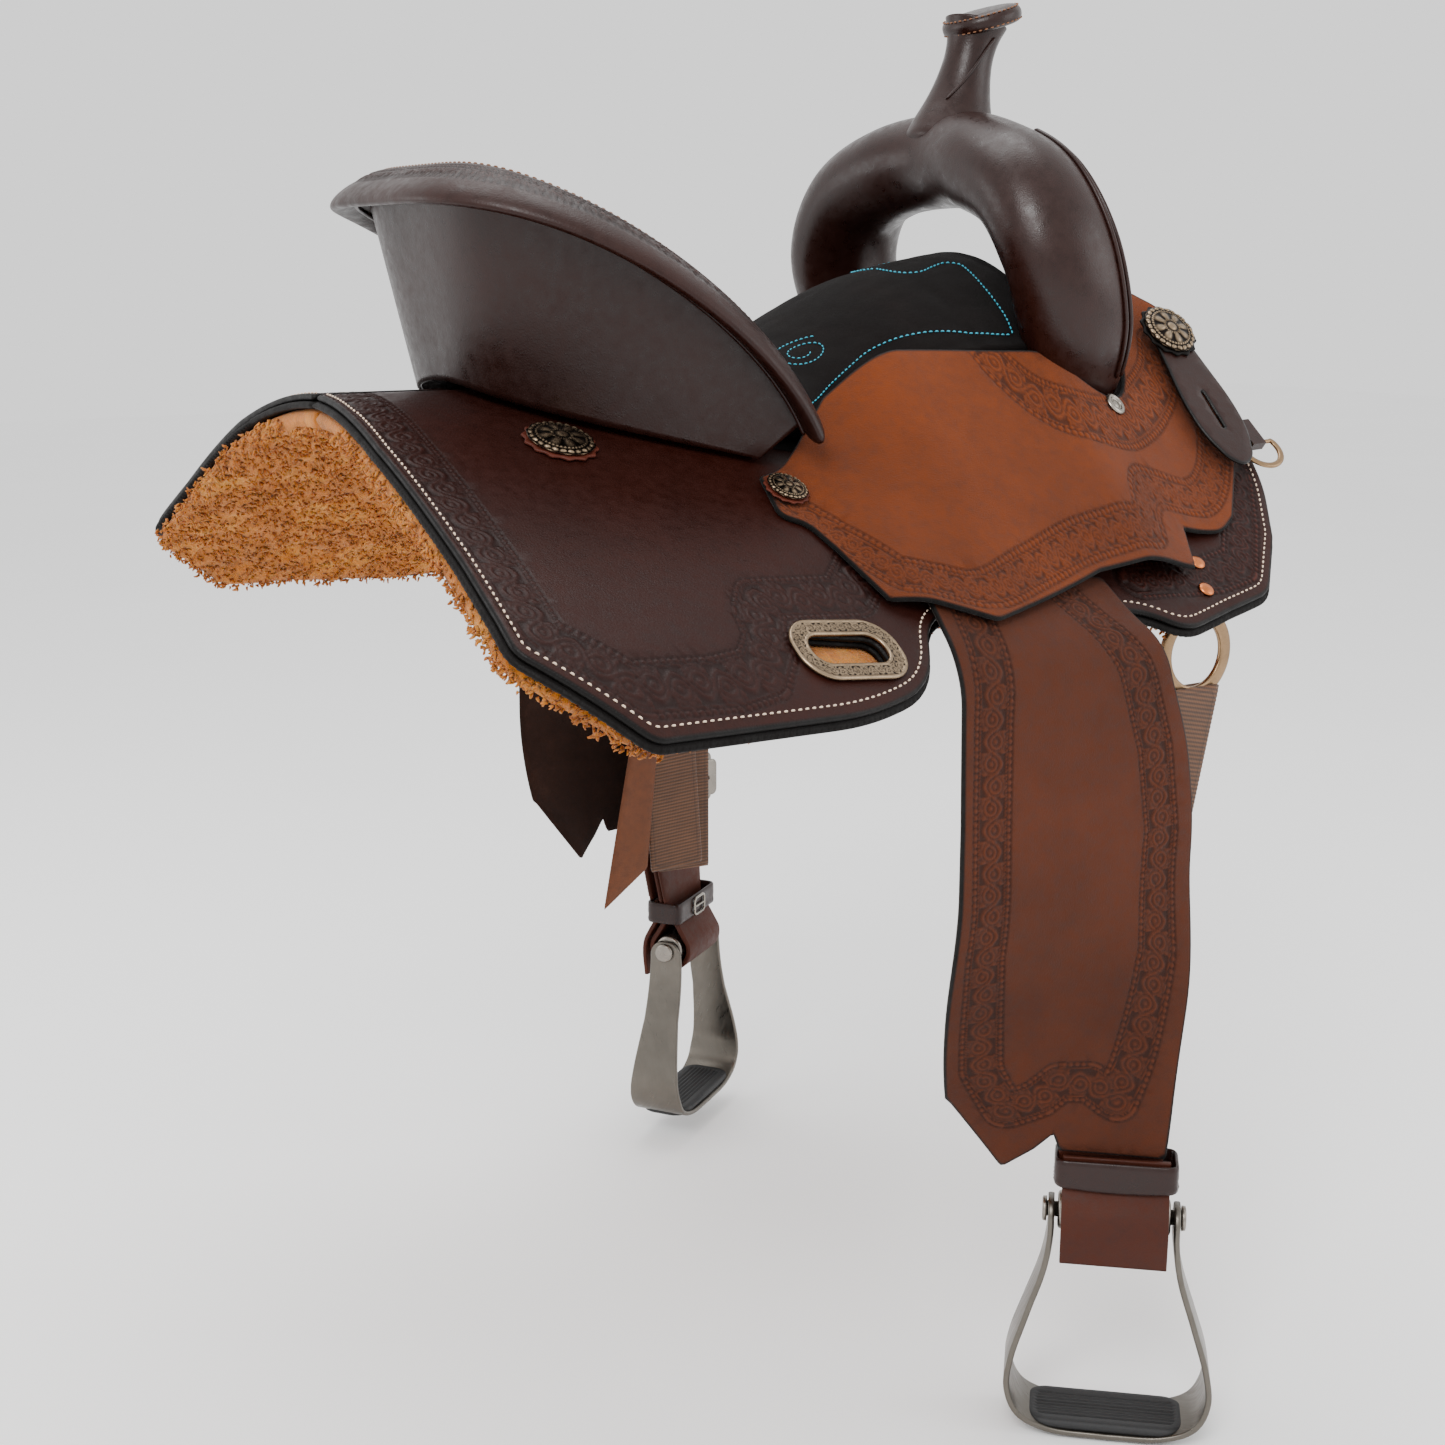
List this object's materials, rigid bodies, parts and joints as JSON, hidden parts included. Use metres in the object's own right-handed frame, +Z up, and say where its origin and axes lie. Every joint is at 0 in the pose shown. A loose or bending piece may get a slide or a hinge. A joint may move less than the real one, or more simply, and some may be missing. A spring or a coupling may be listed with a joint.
{
  "type": "western barrel saddle",
  "caption": "Western barrel saddle with rolled cantle, swelled fork and horn, fleece-lined square skirts, wide fenders and bell-shaped stirrups.",
  "frame": {"origin": "in the saddle's middle plane, at the crown of the channel under the skirts where a rack carries it", "axes": "+X towards the horn, +Y towards the near (left) side, +Z up"},
  "size_m": [0.6793, 0.6847, 0.9346],
  "materials": {
    "leather_dark": "smooth dark chocolate leather",
    "leather_skirt": "tooled dark chestnut leather",
    "leather_jockey": "russet roughout leather",
    "leather_fender": "tooled red-brown leather",
    "leather_black": "black edge dressing",
    "fleece": "golden wool fleece",
    "suede": "black suede seat",
    "nylon": "ribbed brown nylon webbing",
    "wood": "rawhide-covered wood tree",
    "foam": "closed-cell seat foam",
    "horn": "horn core",
    "silver": "antiqued engraved silver",
    "aluminium": "brushed aluminium",
    "bronze": "bronze-brown plated ring",
    "copper": "copper rivets",
    "steel": "steel bolt and buckles",
    "rubber": "ribbed black tread"
  },
  "bodies": {
    "saddle": {"skirt_right": "leather_skirt", "skirt_left": "leather_skirt", "skirt_edge_right": "leather_black", "skirt_edge_left": "leather_black", "fleece_right": "fleece", "fleece_left": "fleece", "seat_jockey_right": "leather_jockey", "seat_jockey_left": "leather_jockey", "cantle_back": "leather_dark", "cantle_roll": "leather_dark", "cantle_face": "leather_dark", "swell_cover": "leather_dark", "horn_wrap": "leather_dark", "horn_cap": "leather_dark", "swell_welts": "leather_dark", "dee_tab_right": "leather_dark", "dee_tab_left": "leather_dark", "rosettes": "leather_dark", "tree_cantle": "wood", "tree_fork": "wood", "tree_bar_right": "wood", "tree_bar_left": "wood", "horn_core": "horn", "seat_cover": "suede", "seat_foam": "foam", "ground_seat": "steel", "fender_top_right": "leather_fender", "fender_top_left": "leather_fender", "hanger_strap_right": "leather_fender", "hanger_strap_left": "leather_fender", "conchos": "silver", "seat_screws": "silver", "flank_plates": "silver", "rigging_rivets": "copper"},
    "fender_assembly_right": {"fender_right": "leather_fender", "stirrup_leather_right": "leather_fender", "hobble_strap_right": "leather_dark", "hobble_buckle_right": "steel", "leather_buckle_right": "steel"},
    "buckle_sleeve_right": {"buckle_sleeve_right": "steel"},
    "stirrup_right": {"stirrup_right": "aluminium", "stirrup_bolt_right": "steel", "stirrup_tread_right": "rubber"},
    "rigging_ring_right": {"rigging_ring_right": "bronze"},
    "front_dee_right": {"front_dee_right": "bronze"},
    "latigo_keeper_right": {"latigo_keeper_right": "leather_dark"},
    "fender_assembly_left": {"fender_left": "leather_fender", "stirrup_leather_left": "leather_fender", "hobble_strap_left": "leather_dark", "hobble_buckle_left": "steel", "leather_buckle_left": "steel"},
    "buckle_sleeve_left": {"buckle_sleeve_left": "steel"},
    "stirrup_left": {"stirrup_left": "aluminium", "stirrup_bolt_left": "steel", "stirrup_tread_left": "rubber"},
    "rigging_ring_left": {"rigging_ring_left": "bronze"},
    "front_dee_left": {"front_dee_left": "bronze"},
    "latigo_keeper_left": {"latigo_keeper_left": "leather_dark"},
    "off_billet": {"off_billet": "nylon"},
    "latigo": {"latigo": "nylon"}
  },
  "joints": [
    {"name": "fender_swing_right", "type": "hinge", "parent": "saddle", "child": "fender_assembly_right", "pos_m": [0.094, -0.283, -0.17], "axis": [0, 1, 0], "range_deg": [-14, 12]},
    {"name": "buckle_sleeve_slide_right", "type": "slide", "parent": "fender_assembly_right", "child": "buckle_sleeve_right", "axis": [0, 0, 1], "range_m": [0, 0.022]},
    {"name": "stirrup_pivot_right", "type": "hinge", "parent": "fender_assembly_right", "child": "stirrup_right", "pos_m": [0.10637, -0.28382, -0.505], "axis": [0.7431, -0.6691, 0], "range_deg": [-35, 35]},
    {"name": "ring_swing_right", "type": "hinge", "parent": "saddle", "child": "rigging_ring_right", "pos_m": [0.198, -0.24, -0.1235], "axis": [1, 0, 0], "range_deg": [-1, 10]},
    {"name": "front_dee_lift_right", "type": "hinge", "parent": "saddle", "child": "front_dee_right", "pos_m": [0.3379, -0.15188, -0.02613], "axis": [-0.9973, 0.0473, -0.0558], "range_deg": [0, 25]},
    {"name": "keeper_turn_right", "type": "hinge", "parent": "saddle", "child": "latigo_keeper_right", "pos_m": [0.29991, -0.09507, 0.04836], "axis": [-0.0127, -0.7249, 0.6888], "range_deg": [-3, 3]},
    {"name": "fender_swing_left", "type": "hinge", "parent": "saddle", "child": "fender_assembly_left", "pos_m": [0.109, 0.283, -0.17], "axis": [0, 1, 0], "range_deg": [-12, 12]},
    {"name": "buckle_sleeve_slide_left", "type": "slide", "parent": "fender_assembly_left", "child": "buckle_sleeve_left", "axis": [0, 0, 1], "range_m": [0, 0.022]},
    {"name": "stirrup_pivot_left", "type": "hinge", "parent": "fender_assembly_left", "child": "stirrup_left", "pos_m": [0.12338, 0.28223, -0.485], "axis": [0.829, 0.5592, 0], "range_deg": [-35, 35]},
    {"name": "ring_swing_left", "type": "hinge", "parent": "saddle", "child": "rigging_ring_left", "pos_m": [0.198, 0.24, -0.1235], "axis": [1, 0, 0], "range_deg": [-10, 1]},
    {"name": "front_dee_lift_left", "type": "hinge", "parent": "saddle", "child": "front_dee_left", "pos_m": [0.3379, 0.15188, -0.02613], "axis": [0.9973, 0.0473, 0.0558], "range_deg": [0, 25]},
    {"name": "keeper_turn_left", "type": "hinge", "parent": "saddle", "child": "latigo_keeper_left", "pos_m": [0.29991, 0.09507, 0.04836], "axis": [-0.0127, 0.7249, 0.6888], "range_deg": [-3, 3]},
    {"name": "off_billet_swing", "type": "hinge", "parent": "rigging_ring_right", "child": "off_billet", "pos_m": [0.198, -0.24, -0.1765], "axis": [1, 0, 0], "range_deg": [-1, 10]},
    {"name": "latigo_swing", "type": "hinge", "parent": "rigging_ring_left", "child": "latigo", "pos_m": [0.198, 0.24, -0.1765], "axis": [1, 0, 0], "range_deg": [-10, 1]}
  ]
}
